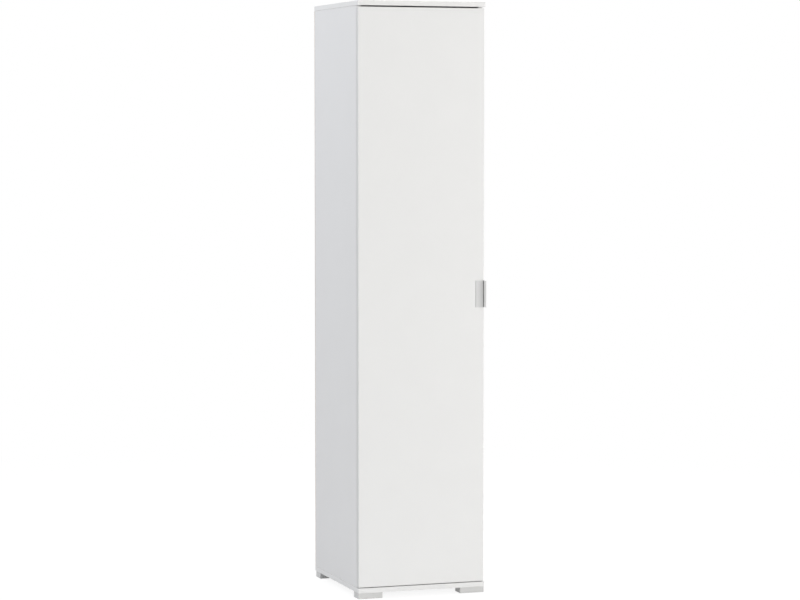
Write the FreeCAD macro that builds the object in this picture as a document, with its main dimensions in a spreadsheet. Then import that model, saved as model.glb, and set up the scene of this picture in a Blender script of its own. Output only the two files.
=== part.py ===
import FreeCAD, Part
import os
import Sketcher

# Tall broom cupboard with one slab door, hinged on the left.
# The sides stand between a full top panel and a full bottom panel, on four block feet.
# Millimetres, +Z up, +X to the right and +Y to the rear, seen from the front.
# The origin is on the floor, under the middle of the whole cupboard, handle included.

doc = FreeCAD.newDocument("BroomCupboard")

# Sizes that can be set one by one
driving_sizes = {
    # Carcass
    "cupboard_width": 450,
    "cupboard_depth": 500,
    "cupboard_height": 2000,
    "board_thickness": 16,
    "side_inset": 2,
    "edge_round": 1,
    "back_thickness": 3,
    "back_inset": 2,
    "hat_space_height": 368,
    "shelf_setback": 20,
    "shelf_rear_gap": 1,
    # Feet
    "foot_height": 20,
    "foot_width": 86,
    "foot_depth": 50,
    "foot_end_inset": 0.5,
    "foot_front_inset": 2,
    "foot_rear_inset": 12,
    "foot_round": 1.5,
    "foot_screw_spacing": 50,
    "foot_screw_recess": 6,
    # Door
    "door_thickness": 16,
    "door_setback": 5,
    "door_back_gap": 3,
    "door_top_gap": 4.5,
    "door_bottom_gap": 2,
    "door_side_inset": 2,
    "bumper_diameter": 10,
    "bumper_tip_diameter": 8,
    "bumper_gap": 0.3,
    "bumper_end_distance": 60,
    # Handle
    "handle_width": 30,
    "handle_reach": 25,
    "handle_length": 90,
    "handle_base": 4,
    "handle_lip": 1.5,
    "handle_groove_width": 2,
    "handle_groove_depth": 2,
    "handle_nose_round": 3,
    "handle_edge_round": 0.4,
    "handle_height": 1018,
    "handle_screw_spacing": 64,
    "handle_screw_inset": 10,
    # Cam fittings and dowels
    "joint_inset": 60,
    "cam_diameter": 15,
    "cam_height": 12.5,
    "cam_end_distance": 34,
    "cam_slot_length": 9,
    "cam_slot_width": 1.8,
    "cam_slot_depth": 2,
    "bolt_thread_diameter": 5,
    "bolt_thread_length": 11,
    "bolt_diameter": 7,
    "bolt_neck_diameter": 4.4,
    "bolt_head_length": 4,
    "dowel_diameter": 8,
    "dowel_length": 30,
    "dowel_face_depth": 10,
    "dowel_pitch": 32,
    # Hinges
    "hinge_end_distance": 100,
    "cup_diameter": 35,
    "cup_edge_distance": 4,
    "cup_wall": 1.4,
    "cup_floor": 0.8,
    "cup_rim": 1,
    "cup_flange": 1.3,
    "cup_ear_width": 13,
    "cup_ear_flat": 0.5,
    "cup_screw_spacing": 48,
    "cup_screw_offset": 6,
    "door_skin": 3,
    "pin_diameter": 2.5,
    "pin_length": 18,
    "eye_wall": 0.8,
    "knuckle_clearance": 0.5,
    "arm_width": 8,
    "arm_metal": 2,
    "arm_tail": 24,
    "saddle_lead": 14,
    "saddle_flange": 2.4,
    "hook_clearance": 2,
    "plate_setback": 37,
    "plate_thickness": 3,
    "plate_wing_width": 18,
    "plate_wing_height": 52,
    "plate_round": 5,
    "plate_spine_width": 12,
    "plate_spine_lead": 18,
    "plate_screw_spacing": 32,
    "clamp_screw_offset": 17,
    # Wall bracket
    "bracket_width": 40,
    "bracket_depth": 30,
    "bracket_drop": 40,
    "bracket_metal": 2,
    "bracket_round": 5,
    "bracket_screw_spacing": 24,
    "wall_hole_diameter": 6,
    # Screws and nails
    "foot_screw_diameter": 4,
    "foot_screw_length": 25,
    "foot_screw_head": 8,
    "plate_screw_diameter": 4,
    "plate_screw_length": 15,
    "plate_screw_head": 7.5,
    "cup_screw_diameter": 3.5,
    "cup_screw_length": 13,
    "cup_screw_head": 6,
    "bracket_screw_diameter": 3.5,
    "bracket_screw_length": 14,
    "bracket_screw_head": 7,
    "handle_screw_diameter": 4,
    "handle_screw_bite": 3,
    "handle_screw_head": 8,
    "clamp_screw_diameter": 5,
    "clamp_screw_head": 9,
    "pan_head_height": 2,
    "cross_length": 3.2,
    "cross_width": 0.9,
    "cross_depth": 1,
    "nail_diameter": 1.6,
    "nail_length": 22,
    "nail_head": 3.6,
    "nail_end_distance": 40,
    # Fits
    "fit_clearance": 0.1,
    "hole_end_clearance": 0.5,
    "eye_clearance": 0.06,
    "seat_clearance": 0.02,
    "bolt_play": 0.4,
    "saddle_clearance": 0.3,
}

# Numbers of like pieces in a row
hinge_count = 4
side_nail_count = 9

# Places and lengths that follow from those sizes
worked_out = {
    "left_x": "-sizes.cupboard_width / 2",
    "front_y": "(max(sizes.handle_reach - sizes.door_setback; 0) - sizes.cupboard_depth) / 2",
    "rear_y": "front_y + sizes.cupboard_depth",
    "board_rear_y": "rear_y - sizes.back_thickness",
    "panel_depth": "sizes.cupboard_depth - sizes.back_thickness",
    "floor_z": "sizes.foot_height + sizes.board_thickness",
    "ceiling_z": "sizes.cupboard_height - sizes.board_thickness",
    "side_height": "ceiling_z - floor_z",
    "inner_x": "sizes.cupboard_width / 2 - sizes.side_inset - sizes.board_thickness",
    "side_mid_x": "inner_x + sizes.board_thickness / 2",
    "door_front_y": "front_y + sizes.door_setback",
    "door_back_y": "door_front_y + sizes.door_thickness",
    "side_front_y": "door_back_y + sizes.door_back_gap",
    "side_depth": "board_rear_y - side_front_y",
    "door_left_x": "left_x + sizes.door_side_inset",
    "door_width": "sizes.cupboard_width - 2 * sizes.door_side_inset",
    "door_bottom_z": "floor_z + sizes.door_bottom_gap",
    "door_height": "side_height - sizes.door_bottom_gap - sizes.door_top_gap",
    "door_top_z": "door_bottom_z + door_height",
    "shelf_top_z": "ceiling_z - sizes.hat_space_height",
    "shelf_bottom_z": "shelf_top_z - sizes.board_thickness",
    "shelf_mid_z": "shelf_bottom_z + sizes.board_thickness / 2",
    "shelf_front_y": "side_front_y + sizes.shelf_setback",
    "shelf_depth": "board_rear_y - sizes.shelf_rear_gap - shelf_front_y",
    "joint_front_y": "side_front_y + sizes.joint_inset",
    "joint_rear_y": "board_rear_y - sizes.joint_inset",
    "cam_edge": "sizes.cam_end_distance - sizes.cam_diameter / 2",
    "foot_mid_x": "sizes.cupboard_width / 2 - sizes.foot_end_inset - sizes.foot_width / 2",
    "foot_front_y": "front_y + sizes.foot_front_inset",
    "foot_rear_y": "rear_y - sizes.foot_rear_inset - sizes.foot_depth",
    "handle_right_x": "-door_left_x",
    "handle_bottom_z": "sizes.handle_height - sizes.handle_length / 2",
    "handle_screw_x": "handle_right_x - sizes.handle_width + sizes.handle_screw_inset",
    # Hinge sizes, taken from the pin's axis
    "pin_radius": "sizes.pin_diameter / 2",
    "knuckle_radius": "pin_radius + sizes.eye_clearance + sizes.eye_wall",
    "pocket_reach": "knuckle_radius + sizes.knuckle_clearance",
    "pocket_width": "sizes.arm_width + 2 * sizes.knuckle_clearance",
    "cup_depth": "sizes.door_thickness - sizes.door_skin - sizes.hole_end_clearance",
    "pivot_edge": "sizes.cup_edge_distance + sizes.cup_wall + pocket_reach",
    "pivot_depth": "cup_depth - sizes.cup_floor - pocket_reach",
    "pivot_x": "door_left_x + pivot_edge",
    "pivot_y": "door_back_y - pivot_depth",
    "cup_offset": "sizes.cup_edge_distance + sizes.cup_diameter / 2 - pivot_edge",
    "cup_screw_x": "cup_offset + sizes.cup_screw_offset",
    "flange_y": "pivot_depth + sizes.cup_flange",
    "side_offset": "-inner_x - pivot_x",
    "spine_offset": "side_offset + sizes.plate_thickness",
    "arm_offset": "spine_offset + sizes.arm_metal / 2",
    "hook_radius": "sqrt(pivot_edge^2 + pivot_depth^2) + sizes.hook_clearance + sizes.arm_metal / 2",
    "hook_outer": "hook_radius + sizes.arm_metal / 2",
    "hook_inner": "hook_radius - sizes.arm_metal / 2",
    "arm_start": "sqrt(hook_radius^2 - arm_offset^2) - sizes.arm_metal / 2",
    "plate_offset": "pivot_depth + sizes.door_back_gap + sizes.plate_setback",
    "arm_end": "plate_offset + sizes.arm_tail",
    "saddle_start": "plate_offset - sizes.saddle_lead",
    "saddle_inner": "sizes.plate_spine_width / 2 + sizes.saddle_clearance",
    "saddle_outer": "saddle_inner + sizes.arm_metal",
    "ear_round": "(sizes.cup_ear_width - sizes.cup_ear_flat) / 2",
    "hinge_pitch": "(door_height - 2 * sizes.hinge_end_distance) / %d" % (hinge_count - 1),
    "first_hinge_z": "door_bottom_z + sizes.hinge_end_distance",
    "clamp_screw_length": "sizes.arm_metal + sizes.plate_thickness - sizes.hole_end_clearance",
    "handle_screw_length": "sizes.door_thickness + sizes.handle_screw_bite",
    # Nail rows
    "nail_low_z": "sizes.foot_height + sizes.nail_end_distance",
    "nail_high_z": "sizes.cupboard_height - sizes.nail_end_distance",
    "nail_pitch_z": "(nail_high_z - nail_low_z) / %d" % (side_nail_count - 1),
    "nail_pitch_x": "inner_x * 2 / 3",
    "top_mid_z": "ceiling_z + sizes.board_thickness / 2",
    "bottom_mid_z": "sizes.foot_height + sizes.board_thickness / 2",
}


def fill_sheet(name, cells):
    """Write named cells into a new sheet."""
    sheet = doc.addObject("Spreadsheet::Sheet", name)
    for row, (alias, content) in enumerate(cells.items(), start=1):
        sheet.set("A%d" % row, alias)
        sheet.set("B%d" % row, content)
        sheet.setAlias("B%d" % row, alias)
    return sheet


size_sheet = fill_sheet("sizes", {alias: str(value) for alias, value in driving_sizes.items()})
doc.recompute()
fill_sheet("places", {alias: "=" + formula for alias, formula in worked_out.items()})
doc.recompute()


def size_of(alias):
    """A size as a plain number."""
    return float(size_sheet.get(alias))


UP = FreeCAD.Vector(0, 0, 1)
DOWN = FreeCAD.Vector(0, 0, -1)
RIGHT = FreeCAD.Vector(1, 0, 0)
LEFT = FreeCAD.Vector(-1, 0, 0)
REAR = FreeCAD.Vector(0, 1, 0)
FRONT = FreeCAD.Vector(0, -1, 0)

nodes = {}
groups = {}
bores = {}
fasteners = {}


def turn(z_axis, x_axis):
    """Rotation that points a piece's own Z and X along the given directions."""
    return FreeCAD.Rotation(x_axis, FreeCAD.Vector(), z_axis, "ZXY")


def put(piece, x, y, z, rotation=FreeCAD.Rotation()):
    """Place a piece by expressions, turned as given."""
    piece.Placement = FreeCAD.Placement(FreeCAD.Vector(), rotation)
    for letter, formula in zip("xyz", (x, y, z)):
        piece.setExpression("Placement.Base." + letter, formula)
    return piece


def copy_of(piece, x, y, z, rotation=FreeCAD.Rotation()):
    """A linked copy of a piece, moved from where the piece itself is."""
    link = doc.addObject("App::Link", piece.Name + "_copy")
    link.LinkedObject = piece
    link.LinkTransform = True
    return put(link, x, y, z, rotation)


def cylinder(name, radius, height, x="0", y="0", z="0", rotation=FreeCAD.Rotation()):
    """A round bar along its own Z."""
    bar = doc.addObject("Part::Cylinder", name)
    bar.setExpression("Radius", radius)
    bar.setExpression("Height", height)
    return put(bar, x, y, z, rotation)


def cone(name, low_radius, high_radius, height, z="0"):
    """A cone along Z, from its lower radius to its upper one."""
    taper = doc.addObject("Part::Cone", name)
    taper.setExpression("Radius1", low_radius)
    taper.setExpression("Radius2", high_radius)
    taper.setExpression("Height", height)
    return put(taper, "0", "0", z)


def box(name, size, place):
    """A plain block from its low corner."""
    block = doc.addObject("Part::Box", name)
    for side, formula in zip(("Length", "Width", "Height"), size):
        block.setExpression(side, formula)
    return put(block, *place)


def fuse(name, pieces):
    """Several shapes joined into one solid."""
    joined = doc.addObject("Part::MultiFuse", name)
    joined.Shapes = pieces
    joined.Refine = True
    return joined


def cut(name, base, tools):
    """A shape with the tools' space taken away."""
    cutter = doc.addObject("Part::Compound", name + "_cutters")
    cutter.Links = tools
    result = doc.addObject("Part::Cut", name)
    result.Base = base
    result.Tool = cutter
    return result


def outline_sketch(body, corners, dimensions):
    """A closed outline of level and upright lines on the body's XY plane, from its origin.

    corners gives a rough starting shape. dimensions gives a formula for the length of a line.
    """
    sketch = body.newObject("Sketcher::SketchObject", body.Name + "_outline")
    plane = next(part for part in body.Origin.OriginFeatures if part.Role == "XY_Plane")
    sketch.AttachmentSupport = [(plane, "")]
    sketch.MapMode = "FlatFace"
    count = len(corners)
    for k in range(count):
        start = FreeCAD.Vector(*corners[k])
        end = FreeCAD.Vector(*corners[(k + 1) % count])
        sketch.addGeometry(Part.LineSegment(start, end))
    for k in range(count):
        sketch.addConstraint(Sketcher.Constraint("Coincident", k, 2, (k + 1) % count, 1))
        sketch.addConstraint(Sketcher.Constraint("Vertical" if k % 2 else "Horizontal", k))
    sketch.addConstraint(Sketcher.Constraint("Coincident", 0, 1, -1, 1))
    for line, formula in dimensions.items():
        kind = "DistanceY" if line % 2 else "DistanceX"
        start = FreeCAD.Vector(*corners[line])
        length = (FreeCAD.Vector(*corners[(line + 1) % count]) - start).Length
        forward = corners[(line + 1) % count] > corners[line]
        ends = (line, 1, line, 2) if forward else (line, 2, line, 1)
        index = sketch.addConstraint(Sketcher.Constraint(kind, *ends, length))
        sketch.setExpression("Constraints[%d]" % index, formula)
    return sketch


def padded_body(name, corners, dimensions, height):
    """A body padded upwards from an outline."""
    body = doc.addObject("PartDesign::Body", name)
    sketch = outline_sketch(body, corners, dimensions)
    pad = body.newObject("PartDesign::Pad", name + "_pad")
    pad.Profile = sketch
    pad.setExpression("Length", height)
    return body


def block_body(name, size):
    """A rectangular body, width along X, depth along Y and height along Z."""
    corners = [(0, 0), (20, 0), (20, 20), (0, 20)]
    return padded_body(name, corners, {0: size[0], 1: size[1]}, size[2])


def angle_body(name, leg_x, leg_y, metal_x, metal_y, length):
    """An L section with its outer corner at the origin, padded along Z."""
    corners = [(0, 0), (20, 0), (20, 4), (4, 4), (4, 20), (0, 20)]
    dimensions = {0: leg_x, 1: metal_x, 4: metal_y, 5: leg_y}
    return padded_body(name, corners, dimensions, length)


def round_edges(body, radius, chosen):
    """Round the edges of a body's last feature that the test chooses."""
    doc.recompute()
    base = body.Tip
    names = ["Edge%d" % (k + 1) for k, edge in enumerate(base.Shape.Edges) if chosen(edge)]
    fillet = body.newObject("PartDesign::Fillet", body.Name + "_round")
    fillet.Base = (base, names)
    fillet.setExpression("Radius", radius)
    return body


def every_edge(edge):
    return True


def runs_along(direction):
    """A test for straight edges that run along a direction."""
    def test(edge):
        run = edge.Vertexes[-1].Point - edge.Vertexes[0].Point
        return run.cross(direction).Length < 1e-6
    return test


def front_upright(edge):
    """A body's upright edges at its front."""
    return runs_along(UP)(edge) and edge.CenterOfMass.y < 1e-6


def cross_recess(kind, solid, face):
    """A screw with a cross for the driver sunk into its head's face."""
    slots = []
    sides = (("a", "cross_length", "cross_width"), ("b", "cross_width", "cross_length"))
    for letter, x_side, y_side in sides:
        size = ("sizes." + x_side, "sizes." + y_side, "2 * sizes.cross_depth")
        place = ("-sizes.%s / 2" % x_side, "-sizes.%s / 2" % y_side, face + " - sizes.cross_depth")
        slots.append(box(kind + "_slot_" + letter, size, place))
    return cut(kind + "_recessed", solid, [fuse(kind + "_cross", slots)])


def sunk_screw(kind, diameter, length, head, cross=True, access="0"):
    """A pointed wood screw or nail and its drill, with its flush head's face at the origin and its
    tip towards -Z. access is the height to clear above the head.
    """
    radius = diameter + " / 2"
    head_radius = head + " / 2"
    head_height = "(%s - %s) / 2" % (head, diameter)
    wide = radius + " + sizes.fit_clearance"
    head_wide = head_radius + " + sizes.fit_clearance"
    solid = fuse(kind + "_solid", [
        cylinder(kind + "_shank", radius, "%s - %s" % (length, diameter), z="%s - %s" % (diameter, length)),
        cone(kind + "_tip", radius + " / 4", radius, diameter, z="-" + length),
        cone(kind + "_head", radius, head_radius, head_height, z="-" + head_height),
    ])
    drill = fuse(kind + "_drill", [
        cylinder(kind + "_hole", wide, length + " + sizes.hole_end_clearance",
                 z="-%s - sizes.hole_end_clearance" % length),
        cone(kind + "_sink", wide, head_wide, head_height, z="-" + head_height),
        cylinder(kind + "_access", head_wide, access + " + sizes.hole_end_clearance"),
    ])
    fasteners[kind] = (cross_recess(kind, solid, "0") if cross else solid, drill)


def pan_screw(kind, diameter, length, head):
    """A blunt machine screw and its drill, with the seat of its head at the origin and its shank
    towards -Z.
    """
    radius = diameter + " / 2"
    solid = fuse(kind + "_solid", [
        cylinder(kind + "_shank", radius, length, z="-" + length),
        cylinder(kind + "_head", head + " / 2", "sizes.pan_head_height"),
    ])
    drill = cylinder(kind + "_hole", radius + " + sizes.fit_clearance",
                     length + " + 2 * sizes.hole_end_clearance",
                     z="-%s - sizes.hole_end_clearance" % length)
    fasteners[kind] = (cross_recess(kind, solid, "sizes.pan_head_height"), drill)


def fix(kind, x, y, z, rotation, drilled):
    """Put one fastener in its place and drill its hole in the named pieces."""
    solid, drill = fasteners[kind]
    groups.setdefault(kind, []).append(copy_of(solid, x, y, z, rotation))
    hole = copy_of(drill, x, y, z, rotation)
    for piece in drilled:
        bores.setdefault(piece, []).append(hole)


# Boards of the carcass and the door, before they are drilled
panel_size = ("sizes.cupboard_width", "places.panel_depth", "sizes.board_thickness")
side_size = ("sizes.board_thickness", "places.side_depth", "places.side_height")
boards = {
    "top_panel": (panel_size, ("places.left_x", "places.front_y", "places.ceiling_z"), every_edge),
    "bottom_panel": (panel_size, ("places.left_x", "places.front_y", "sizes.foot_height"), every_edge),
    "left_side_panel": (
        side_size,
        ("-places.inner_x - sizes.board_thickness", "places.side_front_y", "places.floor_z"),
        front_upright,
    ),
    "right_side_panel": (
        side_size,
        ("places.inner_x", "places.side_front_y", "places.floor_z"),
        front_upright,
    ),
    "upper_shelf": (
        ("2 * places.inner_x", "places.shelf_depth", "sizes.board_thickness"),
        ("-places.inner_x", "places.shelf_front_y", "places.shelf_bottom_z"),
        lambda edge: runs_along(RIGHT)(edge) and edge.CenterOfMass.y < 1e-6,
    ),
    "door_panel": (
        ("places.door_width", "sizes.door_thickness", "places.door_height"),
        ("places.door_left_x", "places.door_front_y", "places.door_bottom_z"),
        every_edge,
    ),
}
for name, (size, place, rounded) in boards.items():
    nodes[name] = put(block_body(name + "_board", size), *place)
    round_edges(nodes[name], "sizes.edge_round", rounded)

# Thin back panel, nailed over the rear edges of the boards
back_size = (
    "sizes.cupboard_width - 2 * sizes.back_inset",
    "sizes.back_thickness",
    "sizes.cupboard_height - sizes.foot_height - 2 * sizes.back_inset",
)
back_place = (
    "places.left_x + sizes.back_inset",
    "places.board_rear_y",
    "sizes.foot_height + sizes.back_inset",
)
nodes["back_panel"] = put(block_body("back_panel_board", back_size), *back_place)

# Cam fitting, modelled with its bolt's face at the origin, its bolt along +Z and its cam facing +X
bolt = fuse("cam_bolt_solid", [
    cylinder("bolt_thread", "sizes.bolt_thread_diameter / 2", "sizes.bolt_thread_length",
             z="-sizes.bolt_thread_length"),
    cylinder("bolt_shank", "sizes.bolt_diameter / 2", "places.cam_edge - sizes.bolt_play"),
    cylinder("bolt_neck", "sizes.bolt_neck_diameter / 2", "sizes.cam_end_distance"),
    cylinder("bolt_head", "sizes.bolt_diameter / 2", "sizes.bolt_head_length",
             z="sizes.cam_end_distance - sizes.bolt_head_length / 2"),
])
cam_face = "sizes.board_thickness / 2"
cam_round = cylinder("cam_round", "sizes.cam_diameter / 2", "sizes.cam_height",
                     cam_face, z="sizes.cam_end_distance", rotation=turn(LEFT, UP))
cam_slots = []
slot_sides = (("a", "cam_slot_length", "cam_slot_width"), ("b", "cam_slot_width", "cam_slot_length"))
for letter, y_side, z_side in slot_sides:
    slot_size = ("sizes.cam_slot_depth * 2", "sizes." + y_side, "sizes." + z_side)
    slot_place = (
        cam_face + " - sizes.cam_slot_depth",
        "-sizes.%s / 2" % y_side,
        "sizes.cam_end_distance - sizes.%s / 2" % z_side,
    )
    cam_slots.append(box("cam_slot_" + letter, slot_size, slot_place))
cam_hollow = fuse("cam_hollow", [
    cylinder("cam_neck_way", "sizes.bolt_neck_diameter / 2 + sizes.bolt_play", "sizes.cam_end_distance"),
    cylinder("cam_head_way", "sizes.bolt_diameter / 2 + sizes.bolt_play",
             "sizes.bolt_head_length + 2 * sizes.bolt_play",
             z="sizes.cam_end_distance - sizes.bolt_head_length / 2 - sizes.bolt_play"),
])
cam = cut("cam_solid", cam_round, [fuse("cam_cross", cam_slots), cam_hollow])
cam_drill = fuse("cam_drill", [
    cylinder("thread_hole", "sizes.bolt_thread_diameter / 2 + sizes.fit_clearance",
             "sizes.bolt_thread_length + sizes.hole_end_clearance",
             z="-sizes.bolt_thread_length - sizes.hole_end_clearance"),
    cylinder("shank_hole", "sizes.bolt_diameter / 2 + sizes.fit_clearance", "sizes.cam_end_distance"),
    cylinder("cam_bore", "sizes.cam_diameter / 2 + sizes.fit_clearance",
             "sizes.cam_height + 2 * sizes.hole_end_clearance", cam_face + " + sizes.hole_end_clearance",
             z="sizes.cam_end_distance", rotation=turn(LEFT, UP)),
])
fasteners["cam_bolts"] = (bolt, cam_drill)

# Plain beech dowel beside each cam, partly in the face and mostly in the end of the other board
dowel = cylinder("dowel_solid", "sizes.dowel_diameter / 2", "sizes.dowel_length", z="-sizes.dowel_face_depth")
dowel_drill = cylinder("dowel_hole", "sizes.dowel_diameter / 2 + sizes.fit_clearance",
                       "sizes.dowel_length + 2 * sizes.hole_end_clearance",
                       z="-sizes.dowel_face_depth - sizes.hole_end_clearance")
fasteners["wood_dowels"] = (dowel, dowel_drill)

# Every joint has a cam and a dowel at the front and again at the rear
joints = []
for side, sign, inward in (("left_side_panel", "-", RIGHT), ("right_side_panel", "", LEFT)):
    joints.append((sign + "places.side_mid_x", "places.ceiling_z", turn(DOWN, inward), ("top_panel", side)))
    joints.append((sign + "places.side_mid_x", "places.floor_z", turn(UP, inward), ("bottom_panel", side)))
    joints.append((sign + "places.inner_x", "places.shelf_mid_z", turn(inward, DOWN), (side, "upper_shelf")))
for x, z, rotation, drilled in joints:
    for y, dowel_y in (("joint_front_y", " + sizes.dowel_pitch"), ("joint_rear_y", " - sizes.dowel_pitch")):
        fix("cam_bolts", x, "places." + y, z, rotation, drilled)
        groups.setdefault("cam_locks", []).append(copy_of(cam, x, "places." + y, z, rotation))
        fix("wood_dowels", x, "places." + y + dowel_y, z, rotation, drilled)

# Four moulded block feet, each held by two screws from below
sunk_screw("foot_screws", "sizes.foot_screw_diameter", "sizes.foot_screw_length", "sizes.foot_screw_head",
           access="sizes.foot_screw_recess")
foot_size = ("sizes.foot_width", "sizes.foot_depth", "sizes.foot_height")
foot = block_body("foot_block", foot_size)
round_edges(foot, "sizes.foot_round", lambda edge: edge.CenterOfMass.z < size_of("foot_height") - 1e-6)
foot_holes = []
for sign in ("-", "+"):
    hole_x = "sizes.foot_width / 2 %s sizes.foot_screw_spacing / 2" % sign
    foot_holes.append(copy_of(fasteners["foot_screws"][1], hole_x, "sizes.foot_depth / 2",
                              "sizes.foot_screw_recess", turn(DOWN, RIGHT)))
drilled_foot = cut("drilled_foot", foot, foot_holes)
for end, foot_y in (("front", "places.foot_front_y"), ("rear", "places.foot_rear_y")):
    for hand, mid_x in (("left", "-places.foot_mid_x"), ("right", "places.foot_mid_x")):
        foot_x = mid_x + " - sizes.foot_width / 2"
        nodes["foot_%s_%s" % (end, hand)] = copy_of(drilled_foot, foot_x, foot_y, "0")
        for sign in ("-", "+"):
            fix("foot_screws", "%s %s sizes.foot_screw_spacing / 2" % (mid_x, sign),
                foot_y + " + sizes.foot_depth / 2", "sizes.foot_screw_recess", turn(DOWN, RIGHT),
                ["bottom_panel"])

# Nails of the back panel, flush with its rear face
sunk_screw("back_nails", "sizes.nail_diameter", "sizes.nail_length", "sizes.nail_head", cross=False)
for side, nail_x in (("left_side_panel", "-places.side_mid_x"), ("right_side_panel", "places.side_mid_x")):
    for k in range(side_nail_count):
        nail_z = "places.nail_low_z + %d * places.nail_pitch_z" % k
        fix("back_nails", nail_x, "places.rear_y", nail_z, turn(REAR, RIGHT), [side, "back_panel"])
for panel, nail_z in (("top_panel", "places.top_mid_z"), ("bottom_panel", "places.bottom_mid_z")):
    for k in (-1, 0, 1):
        nail_x = "%d * places.nail_pitch_x" % k
        fix("back_nails", nail_x, "places.rear_y", nail_z, turn(REAR, RIGHT), [panel, "back_panel"])

# Steel angle under the top panel, for a screw through the back into the wall
sunk_screw("wall_bracket_screws", "sizes.bracket_screw_diameter", "sizes.bracket_screw_length",
           "sizes.bracket_screw_head")
bracket = angle_body("wall_bracket_angle", "sizes.bracket_depth", "sizes.bracket_drop",
                     "sizes.bracket_metal", "sizes.bracket_metal", "sizes.bracket_width")
round_edges(bracket, "sizes.bracket_round", lambda edge: abs(edge.Length - size_of("bracket_metal")) < 1e-6)
nodes["wall_bracket"] = put(bracket, "-sizes.bracket_width / 2", "places.board_rear_y", "places.ceiling_z",
                            FreeCAD.Rotation(FRONT, DOWN, RIGHT, "ZXY"))
for sign in ("-", "+"):
    fix("wall_bracket_screws", sign + "sizes.bracket_screw_spacing / 2",
        "places.board_rear_y - (sizes.bracket_depth + sizes.bracket_metal) / 2",
        "places.ceiling_z - sizes.bracket_metal", turn(DOWN, RIGHT), ["wall_bracket", "top_panel"])
wall_hole = cylinder("wall_hole", "sizes.wall_hole_diameter / 2",
                     "sizes.back_thickness + sizes.bracket_metal + 2 * sizes.hole_end_clearance",
                     "0", "places.board_rear_y - sizes.bracket_metal - sizes.hole_end_clearance",
                     "places.ceiling_z - (sizes.bracket_drop + sizes.bracket_metal) / 2", turn(REAR, RIGHT))
for piece in ("wall_bracket", "back_panel"):
    bores.setdefault(piece, []).append(wall_hole)

# Screws of the hinges
sunk_screw("hinge_cup_screws", "sizes.cup_screw_diameter", "sizes.cup_screw_length", "sizes.cup_screw_head")
sunk_screw("hinge_plate_screws", "sizes.plate_screw_diameter", "sizes.plate_screw_length",
           "sizes.plate_screw_head")
pan_screw("hinge_arm_screws", "sizes.clamp_screw_diameter", "places.clamp_screw_length",
          "sizes.clamp_screw_head")

# Die-cast hinge cup, modelled about the pin's axis: a round body let into the door, a flange with
# two screw ears on the door's rear face, and a pocket for the arm
cup_start = "places.pivot_depth - places.cup_depth"
cup_round = cylinder("cup_round", "sizes.cup_diameter / 2", "places.cup_depth + sizes.cup_flange",
                     "places.cup_offset", cup_start, rotation=turn(REAR, RIGHT))
cup_rim = cylinder("cup_rim", "sizes.cup_diameter / 2 + sizes.cup_rim", "sizes.cup_flange",
                   "places.cup_offset", "places.pivot_depth", rotation=turn(REAR, RIGHT))
cup_ears = block_body("cup_ears", (
    "sizes.cup_ear_width", "sizes.cup_flange", "sizes.cup_screw_spacing + sizes.cup_ear_width"))
round_edges(cup_ears, "places.ear_round", runs_along(REAR))
put(cup_ears, "places.cup_screw_x - sizes.cup_ear_width / 2", "places.pivot_depth",
    "-(sizes.cup_screw_spacing + sizes.cup_ear_width) / 2")
cup_pocket = box("cup_pocket", (
    "places.pocket_reach + places.hook_outer + sizes.hook_clearance",
    "places.pocket_reach + places.flange_y + sizes.hole_end_clearance",
    "places.pocket_width",
), ("-places.pocket_reach", "-places.pocket_reach", "-places.pocket_width / 2"))
pin_seat = cylinder("pin_seat", "places.pin_radius + sizes.seat_clearance", "sizes.cup_diameter",
                    z="-sizes.cup_diameter / 2")
cup_tools = [fuse("cup_hollow", [cup_pocket, pin_seat])]
for sign in ("-", "+"):
    cup_tools.append(copy_of(fasteners["hinge_cup_screws"][1], "places.cup_screw_x", "places.flange_y",
                             sign + "sizes.cup_screw_spacing / 2", turn(REAR, RIGHT)))
cup = cut("cup_solid", fuse("cup_body", [cup_round, cup_rim, cup_ears]), cup_tools)
cup_bore = cylinder("cup_bore", "sizes.cup_diameter / 2 + sizes.fit_clearance",
                    "places.cup_depth + 2 * sizes.hole_end_clearance", "places.cup_offset",
                    cup_start + " - sizes.hole_end_clearance", rotation=turn(REAR, RIGHT))
pin = cylinder("pin_solid", "places.pin_radius", "sizes.pin_length", z="-sizes.pin_length / 2")

# Hinge plate on the inner face of the left side: a wing for two screws and a spine for the arm
plate_wing = block_body("plate_wing", (
    "sizes.plate_thickness", "sizes.plate_wing_width", "sizes.plate_wing_height"))
round_edges(plate_wing, "sizes.plate_round", runs_along(RIGHT))
put(plate_wing, "places.side_offset", "places.plate_offset - sizes.plate_wing_width / 2",
    "-sizes.plate_wing_height / 2")
plate_spine = box("plate_spine", (
    "sizes.plate_thickness", "sizes.plate_spine_lead + sizes.arm_tail", "sizes.plate_spine_width",
), ("places.side_offset", "places.plate_offset - sizes.plate_spine_lead", "-sizes.plate_spine_width / 2"))
clamp_x = "places.spine_offset + sizes.arm_metal"
clamp_y = "places.plate_offset + sizes.clamp_screw_offset"
clamp_hole = copy_of(fasteners["hinge_arm_screws"][1], clamp_x, clamp_y, "0", turn(RIGHT, UP))
plate_tools = [clamp_hole]
for sign in ("-", "+"):
    plate_tools.append(copy_of(fasteners["hinge_plate_screws"][1], "places.spine_offset",
                               "places.plate_offset", sign + "sizes.plate_screw_spacing / 2",
                               turn(RIGHT, UP)))
plate = cut("plate_solid", fuse("plate_body", [plate_wing, plate_spine]), plate_tools)

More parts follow.
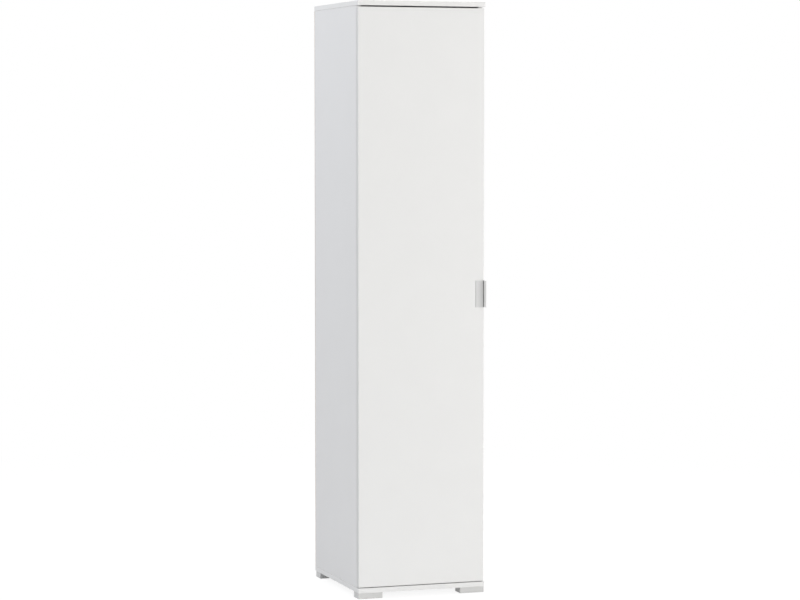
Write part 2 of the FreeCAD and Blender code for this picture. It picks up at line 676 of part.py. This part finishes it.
# Gooseneck hinge arm: an eye on the pin, a bar out along the pocket, a hook round the path of the
# door's corner, and a straight run back to a saddle that sits on the plate's spine
half_arm = "-sizes.arm_width / 2"
arm_eye = cylinder("arm_eye", "places.knuckle_radius", "sizes.arm_width", z=half_arm)
arm_bar = box("arm_bar", ("places.hook_outer", "sizes.arm_metal", "sizes.arm_width"),
              ("0", "-sizes.arm_metal / 2", half_arm))
hook_sector = cylinder("hook_sector", "places.hook_outer", "sizes.arm_width", z=half_arm)
hook_sector.setExpression("Angle", "acos(places.arm_offset / places.hook_radius)")
arm_hook = cut("arm_hook", hook_sector, [
    cylinder("hook_inside", "places.hook_inner", "sizes.arm_width", z=half_arm)])
arm_low_x = "places.spine_offset"
arm_run = box("arm_run", ("sizes.arm_metal", "places.arm_end - places.arm_start", "sizes.arm_width"),
              (arm_low_x, "places.arm_start", half_arm))
saddle_length = "places.arm_end - places.saddle_start"
arm_saddle = box("arm_saddle", ("sizes.arm_metal", saddle_length, "2 * places.saddle_outer"),
                 (arm_low_x, "places.saddle_start", "-places.saddle_outer"))
saddle_flanges = []
for letter, low_z in (("a", "-places.saddle_outer"), ("b", "places.saddle_inner")):
    flange_place = (arm_low_x + " - sizes.saddle_flange", "places.plate_offset + sizes.plate_wing_width / 2"
                    " + sizes.saddle_clearance", low_z)
    flange_size = ("sizes.saddle_flange + sizes.arm_metal", "sizes.arm_tail - sizes.plate_wing_width / 2"
                   " - sizes.saddle_clearance", "sizes.arm_metal")
    saddle_flanges.append(box("saddle_flange_" + letter, flange_size, flange_place))
eye_hole = cylinder("eye_hole", "places.pin_radius + sizes.eye_clearance", "sizes.arm_width", z=half_arm)
arm = cut("arm_solid", fuse("arm_body", [arm_eye, arm_bar, arm_hook, arm_run, arm_saddle] + saddle_flanges),
          [eye_hole, clamp_hole])

# The hinges up the door, each with its own cup, plate and arm
for k in range(hinge_count):
    hinge_z = "places.first_hinge_z + %d * places.hinge_pitch" % k
    hinge_place = ("places.pivot_x", "places.pivot_y", hinge_z)
    for piece, solid in (("hinge_cup", cup), ("hinge_plate", plate), ("hinge_arm", arm)):
        nodes["%s_%d" % (piece, k + 1)] = copy_of(solid, *hinge_place)
    groups.setdefault("hinge_pins", []).append(copy_of(pin, *hinge_place))
    bores.setdefault("door_panel", []).append(copy_of(cup_bore, *hinge_place))
    for sign in ("-", "+"):
        fix("hinge_cup_screws", "places.pivot_x + places.cup_screw_x", "places.pivot_y + places.flange_y",
            "%s %s sizes.cup_screw_spacing / 2" % (hinge_z, sign), turn(REAR, RIGHT), ["door_panel"])
        fix("hinge_plate_screws", "places.pivot_x + places.spine_offset",
            "places.pivot_y + places.plate_offset",
            "%s %s sizes.plate_screw_spacing / 2" % (hinge_z, sign), turn(RIGHT, UP), ["left_side_panel"])
    fix("hinge_arm_screws", "places.pivot_x + " + clamp_x, "places.pivot_y + " + clamp_y, hinge_z,
        turn(RIGHT, UP), [])

# Aluminium angle pull at the door's free edge, held by two screws from the rear of the door.
# Its section has the outer corner at the origin and a groove in the base beside the lip.
pan_screw("handle_screws", "sizes.handle_screw_diameter", "places.handle_screw_length",
          "sizes.handle_screw_head")
handle = padded_body(
    "handle_profile",
    [(0, 0), (20, 0), (20, 6), (8, 6), (8, 3), (4, 3), (4, 20), (0, 20)],
    {
        0: "sizes.handle_width",
        1: "sizes.handle_base",
        3: "sizes.handle_groove_depth",
        4: "sizes.handle_groove_width",
        6: "sizes.handle_lip",
        7: "sizes.handle_reach",
    },
    "sizes.handle_length",
)


def handle_nose(edge):
    """The front edge of the handle's base on the side away from its lip."""
    at_end = abs(edge.CenterOfMass.x - size_of("handle_width")) < 1e-6
    return runs_along(UP)(edge) and at_end and edge.CenterOfMass.y > 1e-6


def handle_lip_edge(edge):
    """The handle's upright edges at its lip and beside the groove."""
    beside_lip = edge.CenterOfMass.x < size_of("handle_width") / 2
    in_front = edge.CenterOfMass.y > size_of("handle_base") - 1e-6
    return runs_along(UP)(edge) and beside_lip and in_front


round_edges(handle, "sizes.handle_nose_round", handle_nose)
round_edges(handle, "sizes.handle_edge_round", handle_lip_edge)
nodes["door_handle"] = put(handle, "places.handle_right_x", "places.door_front_y", "places.handle_bottom_z",
                           turn(UP, LEFT))
for sign in ("-", "+"):
    fix("handle_screws", "places.handle_screw_x", "places.door_back_y",
        "sizes.handle_height %s sizes.handle_screw_spacing / 2" % sign, turn(REAR, RIGHT),
        ["door_panel", "door_handle"])

# Soft stops on the rear of the door, opposite the right side's front edge
bumper = cone("bumper_solid", "sizes.bumper_diameter / 2", "sizes.bumper_tip_diameter / 2",
              "sizes.door_back_gap - sizes.bumper_gap")
bumper_heights = (
    "places.door_bottom_z + sizes.bumper_end_distance",
    "places.door_top_z - sizes.bumper_end_distance",
)
for bumper_z in bumper_heights:
    groups.setdefault("door_bumpers", []).append(
        copy_of(bumper, "places.side_mid_x", "places.door_back_y", bumper_z, turn(REAR, RIGHT)))

# Drill the boards, the bracket and the handle, and gather like fasteners
for name, tools in bores.items():
    nodes[name] = cut(name + "_drilled", nodes[name], tools)
for name, copies in groups.items():
    nodes[name] = doc.addObject("Part::Compound", name + "_group")
    nodes[name].Links = copies
for name, piece in nodes.items():
    piece.Label = name
doc.recompute()

# Nothing is written unless every object is sound
for thing in doc.Objects:
    if "Invalid" in thing.State or "Error" in thing.State:
        raise RuntimeError("%s failed: %s" % (thing.Name, thing.State))
for name, piece in nodes.items():
    if piece.Shape.isNull() or not piece.Shape.isValid():
        raise RuntimeError("%s has no sound shape" % name)
    if len(piece.Shape.Solids) != len(groups.get(name, [piece])):
        raise RuntimeError("%s has %d solids" % (name, len(piece.Shape.Solids)))

os.makedirs("parts", exist_ok=True)
for name, piece in nodes.items():
    piece.Shape.exportStep("parts/%s.step" % name)
print("%d parts" % len(nodes))
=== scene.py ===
import math

import bpy
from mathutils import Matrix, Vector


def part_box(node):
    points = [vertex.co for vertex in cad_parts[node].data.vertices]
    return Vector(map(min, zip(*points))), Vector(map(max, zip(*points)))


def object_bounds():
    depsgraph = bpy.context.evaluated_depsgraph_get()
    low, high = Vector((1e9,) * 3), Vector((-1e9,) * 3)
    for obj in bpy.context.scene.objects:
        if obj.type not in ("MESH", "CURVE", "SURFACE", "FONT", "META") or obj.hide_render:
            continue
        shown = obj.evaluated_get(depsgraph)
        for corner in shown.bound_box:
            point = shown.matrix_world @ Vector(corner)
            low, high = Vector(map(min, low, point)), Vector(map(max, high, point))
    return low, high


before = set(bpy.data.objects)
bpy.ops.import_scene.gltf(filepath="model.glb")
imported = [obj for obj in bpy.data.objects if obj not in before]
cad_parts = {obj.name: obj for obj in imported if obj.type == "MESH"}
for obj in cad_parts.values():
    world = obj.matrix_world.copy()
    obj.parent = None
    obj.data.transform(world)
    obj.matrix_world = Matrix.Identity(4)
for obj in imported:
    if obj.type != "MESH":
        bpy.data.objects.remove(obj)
cad_low, cad_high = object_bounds()


# Carcass boards
# The bottom, the two sides, the fixed shelf and the top are 16 mm chipboard faced with white melamine paper.
# Plastic edging is glued to each edge that shows, and the rear edges under the back panel are left bare.
MM = 0.001
BOARD_WHITE = (0.80, 0.80, 0.80)
PAPER_DARKEST = 0.985
PAPER_PALEST = 1.01
BOARD_EDGING = (0.80, 0.80, 0.795)
EDGING_THICKNESS = 1.0 * MM
EDGING_BLUR = 0.05 * MM
GLUE_TONE = (0.60, 0.58, 0.54)
GLUE_LINE = 0.15 * MM
GLUE_SHOWS = 0.35
CHIP_DARK = (0.36, 0.24, 0.13)
CHIP_PALE = (0.66, 0.50, 0.32)
SKIN_DEPTH = 0.5 * MM
SAWN_DEPTH = 0.05 * MM


class Wire:
    """One output socket of a node tree. Python arithmetic on wires adds Math nodes to that tree."""

    def __init__(self, socket):
        self.socket = socket
        self.tree = socket.id_data

    def node(self, kind, settings, inputs, output=0):
        """Adds any node, its settings first and then the values or links of its sockets."""
        made = self.tree.nodes.new(kind)
        for name, value in settings.items():
            setattr(made, name, value)
        for name, value in inputs.items():
            if isinstance(value, Wire):
                self.tree.links.new(value.socket, made.inputs[name])
            else:
                made.inputs[name].default_value = value
        return Wire(made.outputs[output])

    def maths(self, operation, first, second=0.0):
        return self.node("ShaderNodeMath", {"operation": operation}, {0: first, 1: second})

    def __add__(self, other):
        return self.maths("ADD", self, other)

    def __sub__(self, other):
        return self.maths("SUBTRACT", self, other)

    def __rsub__(self, other):
        return self.maths("SUBTRACT", other, self)

    def __mul__(self, other):
        return self.maths("MULTIPLY", self, other)

    def __lt__(self, other):
        return self.maths("LESS_THAN", self, other)

    def __gt__(self, other):
        return self.maths("GREATER_THAN", self, other)

    def __abs__(self):
        return self.maths("ABSOLUTE", self)

    __radd__ = __add__
    __rmul__ = __mul__

    def feeds(self, socket):
        self.tree.links.new(self.socket, socket)


def new_finish(name):
    """A material with its shader, and the wire of the piece's own coordinates in metres."""
    material = bpy.data.materials.new(name)
    material.use_nodes = True
    shader = material.node_tree.nodes["Principled BSDF"]
    coordinates = material.node_tree.nodes.new("ShaderNodeTexCoord")
    return material, shader, Wire(coordinates.outputs["Object"])


def along_axes(where):
    """The x, y and z of the coordinates, each as a wire of its own."""
    split = where.node("ShaderNodeSeparateXYZ", {}, {"Vector": where}).socket.node
    return [Wire(output) for output in split.outputs]


def stretched(where, scale):
    """The coordinates drawn out by a scale along each axis, for a texture with a direction."""
    return where.node("ShaderNodeVectorMath", {"operation": "MULTIPLY"}, {0: where, 1: scale})


def speckle(where, scale=1.0, detail=2.0):
    """Soft noise from 0 to 1, with scale features to the unit of its coordinates."""
    return where.node("ShaderNodeTexNoise", {}, {"Vector": where, "Scale": scale, "Detail": detail})


def step(value, start, end):
    """A smooth rise from 0 at start to 1 at end."""
    inputs = {"Value": value, "From Min": start, "From Max": end}
    return value.node("ShaderNodeMapRange", {"interpolation_type": "SMOOTHSTEP"}, inputs)


def mixed(share, first, second):
    """The first colour where share is 0 and the second where it is 1."""
    factor_socket, first_socket, second_socket, colour_output = 0, 6, 7, 2
    inputs = {factor_socket: share}
    inputs[first_socket] = first if isinstance(first, Wire) else (*first, 1.0)
    inputs[second_socket] = second if isinstance(second, Wire) else (*second, 1.0)
    return share.node("ShaderNodeMix", {"data_type": "RGBA"}, inputs, output=colour_output)


def least(first, *others):
    for other in others:
        first = first.maths("MINIMUM", first, other)
    return first


def greatest(first, *others):
    for other in others:
        first = first.maths("MAXIMUM", first, other)
    return first


def relief(shader, height, depth):
    """Feeds a height from 0 to 1 to the shader as a relief of that depth in metres."""
    bump = height.node("ShaderNodeBump", {}, {"Height": height, "Distance": depth})
    bump.feeds(shader.inputs["Normal"])


def dress(material, *nodes):
    """Gives the material to the solids of these nodes."""
    for name in nodes:
        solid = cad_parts[name]
        solid.data.materials.clear()
        solid.data.materials.append(material)


def chipboard(where):
    """Pressed wood chips, as bare edges and drilled holes show them."""
    chips = where.node("ShaderNodeTexVoronoi", {}, {"Vector": where, "Scale": 420.0}, output="Color")
    tone = chips.node("ShaderNodeSeparateColor", {}, {"Color": chips})
    return mixed(tone, CHIP_DARK, CHIP_PALE)


def melamine(node, white, edging_tone, edged, bare):
    """Dresses one board. Edged and bare name the sides with plastic edging and the sides left raw."""
    material, shader, where = new_finish(node + "_melamine")
    inward = {}
    for axis, along, low, high in zip("xyz", along_axes(where), *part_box(node)):
        inward[axis + "0"] = along - low
        inward[axis + "1"] = high - along
    drilled = least(*inward.values()) > SKIN_DEPTH
    raw = greatest(drilled, *[inward[side] < SAWN_DEPTH for side in bare])
    from_edge = least(*[inward[side] for side in edged])
    edging = 1.0 - step(from_edge, start=EDGING_THICKNESS, end=EDGING_THICKNESS + EDGING_BLUR)
    from_glue = abs(from_edge - EDGING_THICKNESS - GLUE_LINE)
    glue = 1.0 - step(from_glue, start=0.3 * GLUE_LINE, end=GLUE_LINE)
    paper = speckle(where, scale=9.0, detail=4.0)
    pearl = speckle(where, scale=1300.0)
    face = mixed(paper, [PAPER_DARKEST * part for part in white], [PAPER_PALEST * part for part in white])
    face = mixed(edging, face, edging_tone)
    face = mixed(glue * GLUE_SHOWS, face, GLUE_TONE)
    mixed(raw, face, chipboard(where)).feeds(shader.inputs["Base Color"])
    satin = 0.38 + 0.07 * pearl - 0.06 * edging
    (satin + 0.45 * raw).feeds(shader.inputs["Roughness"])
    relief(shader, pearl * (1.0 - edging), depth=0.02 * MM)
    dress(material, node)


melamine("bottom_panel", BOARD_WHITE, BOARD_EDGING, edged=("x0", "x1", "y0"), bare=("y1",))
melamine("left_side_panel", BOARD_WHITE, BOARD_EDGING, edged=("y0",), bare=("y1", "z0", "z1"))
melamine("right_side_panel", BOARD_WHITE, BOARD_EDGING, edged=("y0",), bare=("y1", "z0", "z1"))
melamine("upper_shelf", BOARD_WHITE, BOARD_EDGING, edged=("y0",), bare=("x0", "x1", "y1"))
melamine("top_panel", BOARD_WHITE, BOARD_EDGING, edged=("x0", "x1", "y0"), bare=("y1",))


# Knock-down joints
# Steel bolts in one board are drawn into zinc cams in the other, and beech dowels beside them keep the boards
# in line. The cams are cast and nickel-plated, the bolts bright zinc, and the dowels plain bare wood.
CASTING_DARK = (0.50, 0.50, 0.50)
CASTING_PALE = (0.60, 0.60, 0.59)
ZINC_BLUE = (0.58, 0.61, 0.64)
ZINC_STRAW = (0.66, 0.64, 0.58)
BEECH_DARK = (0.56, 0.40, 0.25)
BEECH_PALE = (0.70, 0.53, 0.36)
BEECH_FLECK = (0.38, 0.22, 0.12)
FLECK_SHOWS = 0.5


def cast_zinc():
    """A nickel-plated casting: dull grey metal with a slightly pebbled skin."""
    material, shader, where = new_finish("cast_zinc")
    pebbles = speckle(where, scale=900.0, detail=3.0)
    stain = speckle(where, scale=120.0)
    mixed(stain, CASTING_DARK, CASTING_PALE).feeds(shader.inputs["Base Color"])
    shader.inputs["Metallic"].default_value = 1.0
    (0.30 + 0.18 * pebbles).feeds(shader.inputs["Roughness"])
    relief(shader, pebbles, depth=0.04 * MM)
    return material


def zinc_plate():
    """Bright zinc on turned steel: pale metal with a trace of blue and straw in the passivation."""
    material, shader, where = new_finish("zinc_plate")
    tint = speckle(where, scale=240.0)
    scratches = speckle(where, scale=2600.0)
    mixed(tint, ZINC_BLUE, ZINC_STRAW).feeds(shader.inputs["Base Color"])
    shader.inputs["Metallic"].default_value = 1.0
    (0.22 + 0.16 * scratches).feeds(shader.inputs["Roughness"])
    relief(shader, scratches, depth=0.008 * MM)
    return material


def bare_beech():
    """Pale pinkish wood with short darker flecks along the grain."""
    material, shader, where = new_finish("bare_beech")
    flecks = step(speckle(stretched(where, scale=(1800.0, 1800.0, 160.0))), start=0.55, end=0.75)
    grain = speckle(stretched(where, scale=(300.0, 300.0, 20.0)), detail=4.0)
    wood = mixed(grain, BEECH_DARK, BEECH_PALE)
    mixed(flecks * FLECK_SHOWS, wood, BEECH_FLECK).feeds(shader.inputs["Base Color"])
    (0.62 + 0.12 * grain).feeds(shader.inputs["Roughness"])
    relief(shader, grain, depth=0.05 * MM)
    return material


CAST_ZINC = cast_zinc()
ZINC_PLATE = zinc_plate()
dress(CAST_ZINC, "cam_locks")
dress(ZINC_PLATE, "cam_bolts")
dress(bare_beech(), "wood_dowels")


# Feet
# Four block feet, moulded in light grey plastic with a fine satin texture and softly rounded edges.
# Two countersunk screws hold each foot to the underside of the bottom panel.
FOOT_DARK = (0.605, 0.605, 0.60)
FOOT_PALE = (0.645, 0.645, 0.64)


def moulded_grey():
    """Grey plastic with the fine grain of its mould and faint flow marks."""
    material, shader, where = new_finish("moulded_grey")
    pits = speckle(where, scale=1900.0, detail=3.0)
    flow = speckle(stretched(where, scale=(18.0, 18.0, 60.0)))
    mixed(flow, FOOT_DARK, FOOT_PALE).feeds(shader.inputs["Base Color"])
    (0.25 + 0.12 * pits).feeds(shader.inputs["Roughness"])
    relief(shader, pits, depth=0.02 * MM)
    return material


dress(moulded_grey(), "foot_front_left", "foot_front_right", "foot_rear_left", "foot_rear_right")
dress(ZINC_PLATE, "foot_screws")


# Back panel
# One sheet of 3 mm hardboard, painted white on the face that looks into the cupboard and bare behind.
# It lies over the rear edges of the boards and is held all round by flat-headed nails.
PAINT_THICKNESS = 0.1 * MM
PAINT_DARK = (0.79, 0.79, 0.785)
PAINT_PALE = (0.82, 0.82, 0.815)
FIBRE_DARK = (0.20, 0.115, 0.058)
FIBRE_PALE = (0.42, 0.27, 0.155)
CLOUD_BROWN = (0.43, 0.28, 0.16)
CLOUD_SHOWS = 0.45
BUNDLE_BROWN = (0.17, 0.095, 0.048)
BUNDLE_SHOWS = 0.5


def hardboard(node):
    """Dresses the sheet: white paint on its front face, pressed brown fibre elsewhere."""
    material, shader, where = new_finish("hardboard")
    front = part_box(node)[0][1]
    rearward = along_axes(where)[1]
    bare = step(rearward - front, start=PAINT_THICKNESS, end=2 * PAINT_THICKNESS)
    fibre = speckle(where, scale=500.0, detail=5.0)
    cloud = step(speckle(where, scale=7.0, detail=5.0), start=0.35, end=0.65)
    bundles = step(speckle(where, scale=150.0, detail=6.0), start=0.50, end=0.75)
    paint = mixed(cloud, PAINT_DARK, PAINT_PALE)
    brown = mixed(fibre, FIBRE_DARK, FIBRE_PALE)
    brown = mixed(cloud * CLOUD_SHOWS, brown, CLOUD_BROWN)
    brown = mixed(bundles * BUNDLE_SHOWS, brown, BUNDLE_BROWN)
    mixed(bare, paint, brown).feeds(shader.inputs["Base Color"])
    (0.45 + 0.10 * fibre + 0.20 * bare).feeds(shader.inputs["Roughness"])
    relief(shader, fibre, depth=0.05 * MM)
    dress(material, node)


hardboard("back_panel")
dress(ZINC_PLATE, "back_nails")


# Wall bracket
# A bent angle of nickel-plated steel under the top panel, with two screws up into the board.
# Its hole takes a screw through the back panel into the wall, so that the tall cupboard can't tip.
NICKEL_DULL = (0.60, 0.59, 0.57)
NICKEL_BRIGHT = (0.67, 0.655, 0.63)


def nickel_plate():
    """Nickel on pressed steel: slightly warm bright metal with fine rolling marks."""
    material, shader, where = new_finish("nickel_plate")
    rolled = speckle(stretched(where, scale=(2400.0, 150.0, 2400.0)))
    haze = speckle(where, scale=60.0, detail=3.0)
    mixed(haze, NICKEL_DULL, NICKEL_BRIGHT).feeds(shader.inputs["Base Color"])
    shader.inputs["Metallic"].default_value = 1.0
    (0.20 + 0.10 * rolled + 0.06 * haze).feeds(shader.inputs["Roughness"])
    relief(shader, rolled, depth=0.006 * MM)
    return material


NICKEL_PLATE = nickel_plate()
dress(NICKEL_PLATE, "wall_bracket")
dress(ZINC_PLATE, "wall_bracket_screws")


# Door
# One slab of 16 mm white chipboard with a smooth satin face and plastic edging all round, whose colour is
# painted greyer than the boards' edging as painted shade for the gap beside the door's edge.
# It closes between the top and bottom panels, in front of the sides.
DOOR_WHITE = (0.80, 0.80, 0.795)
# Painted shade: the door's edging colour is darker than the boards' edging, standing in for the shade in the
# gap beside the door.
DOOR_EDGING_PAINTED_SHADE = (0.70, 0.70, 0.695)
melamine("door_panel", DOOR_WHITE, DOOR_EDGING_PAINTED_SHADE, edged=("x0", "x1", "z0", "z1"), bare=())


# Hinges
# Four concealed hinges: a cast cup pressed into the door, a pressed steel arm that reaches round the door's
# edge to the pin, and a mounting plate on the left side. Each is screwed to its board and to its plate.
HINGE_COUNT = 4
for number in range(1, HINGE_COUNT + 1):
    dress(CAST_ZINC, f"hinge_cup_{number}")
    dress(NICKEL_PLATE, f"hinge_arm_{number}", f"hinge_plate_{number}")
dress(NICKEL_PLATE, "hinge_pins")
dress(ZINC_PLATE, "hinge_cup_screws", "hinge_plate_screws", "hinge_arm_screws")


# Handle
# A short piece of aluminium angle, brushed lengthways and anodised, with its lip at the door's free edge.
# Two screws from the rear of the door hold its flat leg. The groove beside the lip is left rougher, and its
# colour is painted dark as painted shade in that crease. The lip's inner face and the rim opposite it are
# painted pale as painted highlight.
HANDLE_LIP = 1.5 * MM
HANDLE_BASE = 4.0 * MM
GROOVE_WIDTH = 2.0 * MM
# Painted highlight: how far the paler colour reaches into the lip's inner face and along the rim, and how
# strongly it shows.
LIP_HIGHLIGHT_DEPTH = 0.1 * MM
RIM_HIGHLIGHT_WIDTH = 0.3 * MM
HIGHLIGHT_SHOWS = 0.7
ALUMINIUM_DULL = (0.70, 0.70, 0.695)
ALUMINIUM_BRIGHT = (0.78, 0.78, 0.775)
ALUMINIUM_PAINTED_HIGHLIGHT = (0.94, 0.94, 0.935)
# Painted shade: the colour given to the crease of the groove beside the lip.
GROOVE_PAINTED_SHADE = (0.10, 0.10, 0.10)


def satin_aluminium(node):
    """Dresses the handle: long fine streaks along Z, painted shade in the groove, and painted highlight on
    the lip's inner face and the rim.
    """
    material, shader, where = new_finish("satin_aluminium")
    low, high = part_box(node)
    across, rearward, _ = along_axes(where)
    from_lip = high[0] - HANDLE_LIP - across
    from_face = rearward - high[1] + HANDLE_BASE
    beside_lip = abs(from_lip - GROOVE_WIDTH / 2) < 0.52 * GROOVE_WIDTH
    # Painted shade: the groove beside the lip is coloured dark where the crease lies in shade.
    groove_shade = beside_lip * step(from_face, start=0.2 * MM, end=0.8 * MM)
    # Painted highlight: the lip's inner face and the rim of the flat leg are coloured paler.
    painted_highlight = (abs(from_lip) < LIP_HIGHLIGHT_DEPTH) * (1.0 - groove_shade) + (across < low[0] + RIM_HIGHLIGHT_WIDTH)
    streaks = speckle(stretched(where, scale=(3200.0, 3200.0, 25.0)), detail=3.0)
    brushed = mixed(streaks, ALUMINIUM_DULL, ALUMINIUM_BRIGHT)
    brushed = mixed(painted_highlight * HIGHLIGHT_SHOWS, brushed, ALUMINIUM_PAINTED_HIGHLIGHT)
    mixed(groove_shade, brushed, GROOVE_PAINTED_SHADE).feeds(shader.inputs["Base Color"])
    (0.75 - 0.55 * groove_shade - 0.2 * painted_highlight).feeds(shader.inputs["Metallic"])
    (0.56 + 0.12 * streaks + 0.3 * groove_shade + 0.1 * painted_highlight).feeds(shader.inputs["Roughness"])
    relief(shader, streaks, depth=0.01 * MM)
    dress(material, node)


satin_aluminium("door_handle")
dress(ZINC_PLATE, "handle_screws")


# Bumpers
# Two small buttons of soft translucent silicone rubber, moulded and stuck to the rear of the door.
# They meet the right side as the door closes.
RUBBER_DARK = (0.72, 0.72, 0.70)
RUBBER_PALE = (0.80, 0.80, 0.78)


def clear_rubber():
    """Milky clear silicone with a dull skin."""
    material, shader, where = new_finish("clear_rubber")
    bloom = speckle(where, scale=700.0, detail=3.0)
    mixed(bloom, RUBBER_DARK, RUBBER_PALE).feeds(shader.inputs["Base Color"])
    shader.inputs["Transmission Weight"].default_value = 0.55
    shader.inputs["IOR"].default_value = 1.42
    (0.30 + 0.20 * bloom).feeds(shader.inputs["Roughness"])
    return material


dress(clear_rubber(), "door_bumpers")


# Floor and surroundings
# A plain white floor that keeps the soft shadow near the cupboard and runs out to white further off.
# The surroundings give an even light, and are white to the camera and in reflections.
FLOOR_SIZE = 60.0
SHADOW_REACH = 1.2
FLOOR_WHITE_FROM = 4.0
FLOOR_BOUNCE = 0.90
FLOOR_SEEN = 0.19
NEAR_GLOW = 0.88
FULL_GLOW = 1.0
PURE_WHITE = (1.0, 1.0, 1.0, 1.0)
SURROUNDING_LIGHT = 0.35


def seen_directly(tree):
    """1 for rays from the camera, from glossy surfaces and through clear ones, else 0."""
    path = tree.nodes.new("ShaderNodeLightPath")
    return greatest(*[Wire(path.outputs[f"Is {kind} Ray"]) for kind in ("Camera", "Glossy", "Transmission")])


bpy.ops.object.select_all(action="DESELECT")
bpy.ops.mesh.primitive_plane_add(size=FLOOR_SIZE)
floor = bpy.context.object
floor.name = "floor"
floor_finish, floor_shader, floor_where = new_finish("white_floor")
floor_shader.inputs["Roughness"].default_value = 0.9
floor_shader.inputs["Specular IOR Level"].default_value = 0.0
seen = seen_directly(floor_finish.node_tree)
(FLOOR_BOUNCE - (FLOOR_BOUNCE - FLOOR_SEEN) * seen).feeds(floor_shader.inputs["Base Color"])
away = floor_where.node("ShaderNodeVectorMath", {"operation": "LENGTH"}, {0: floor_where}, output="Value")
whitened = step(away, start=SHADOW_REACH, end=FLOOR_WHITE_FROM)
lit = Wire(floor_shader.outputs["BSDF"])
glow = lit.node("ShaderNodeEmission", {}, {"Color": PURE_WHITE, "Strength": NEAR_GLOW})
near = lit.node("ShaderNodeAddShader", {}, {0: lit, 1: glow})
far = lit.node("ShaderNodeEmission", {}, {"Color": PURE_WHITE, "Strength": FULL_GLOW})
shown = lit.node("ShaderNodeMixShader", {}, {0: whitened, 1: near, 2: far})
ground = lit.node("ShaderNodeMixShader", {}, {0: seen, 1: lit, 2: shown})
ground.feeds(floor_finish.node_tree.nodes["Material Output"].inputs["Surface"])
floor.data.materials.append(floor_finish)

world = bpy.data.worlds.new("white_studio")
world.use_nodes = True
bpy.context.scene.world = world
surroundings = world.node_tree.nodes["Background"]
surroundings.inputs["Color"].default_value = PURE_WHITE
surroundings.inputs["Strength"].default_value = SURROUNDING_LIGHT
room = Wire(surroundings.outputs["Background"])
backdrop = room.node("ShaderNodeBackground", {}, {"Color": PURE_WHITE, "Strength": FULL_GLOW})
sky = room.node("ShaderNodeMixShader", {}, {0: seen_directly(world.node_tree), 1: room, 2: backdrop})
sky.feeds(world.node_tree.nodes["World Output"].inputs["Surface"])


# Studio lights
# Large soft lamps on all sides, of which only their light shows. The strongest stands in front to the right.
# A slightly blue one high on the left leaves that side darker than the front, fading downwards, and a weak
# low one in front on the left reaches the feet and the handle's lip.
FRONT_TINT = (1.0, 0.99, 0.966)
LEFT_TINT = (0.916, 0.942, 1.0)
PLAIN_TINT = (1.0, 1.0, 1.0)
cupboard_middle = (cad_low + cad_high) / 2


def soft_lamp(name, place, size, power, tint=PLAIN_TINT):
    """A disc of light aimed at the cupboard's middle, which neither the camera nor a reflection shows."""
    lamp = bpy.data.lights.new(name, "AREA")
    lamp.shape = "DISK"
    lamp.size = size
    lamp.energy = power
    lamp.color = tint
    holder = bpy.data.objects.new(name, lamp)
    bpy.context.scene.collection.objects.link(holder)
    holder.location = place
    holder.rotation_euler = (cupboard_middle - holder.location).to_track_quat("-Z", "Y").to_euler()
    holder.visible_camera = False
    holder.visible_glossy = False


soft_lamp("front_right_lamp", place=(5.0, -8.0, 2.2), size=4.0, power=474.0, tint=FRONT_TINT)
soft_lamp("front_left_lamp", place=(-3.5, -6.5, 0.8), size=3.0, power=30.0)
soft_lamp("left_lamp", place=(-3.2, 0.3, 4.2), size=2.5, power=79.6, tint=LEFT_TINT)
soft_lamp("overhead_lamp", place=(0.0, -0.5, 5.0), size=3.0, power=10.0)
soft_lamp("rear_lamp", place=(0.5, 4.5, 3.0), size=2.5, power=35.0)
soft_lamp("right_lamp", place=(4.0, 0.5, 2.5), size=2.5, power=25.0)


# Camera
# It stands well back in front and to the left, at about eye height, and looks slightly down.
# A long lens keeps the cupboard's upright edges nearly parallel.
CAMERA_PLACE = (-2.9517, -8.7411, 1.5744)
CAMERA_YAW = math.radians(18.679)
CAMERA_PITCH = math.radians(3.6415)
CAMERA_LENS = 120.88
CAMERA_SENSOR = 36.0
camera = bpy.data.cameras.new("camera")
camera.lens = CAMERA_LENS
camera.sensor_width = CAMERA_SENSOR
camera_holder = bpy.data.objects.new("camera", camera)
bpy.context.scene.collection.objects.link(camera_holder)
camera_holder.location = CAMERA_PLACE
camera_holder.rotation_euler = (math.pi / 2 - CAMERA_PITCH, 0.0, -CAMERA_YAW)
bpy.context.scene.camera = camera_holder
bpy.context.scene.view_settings.view_transform = "Standard"
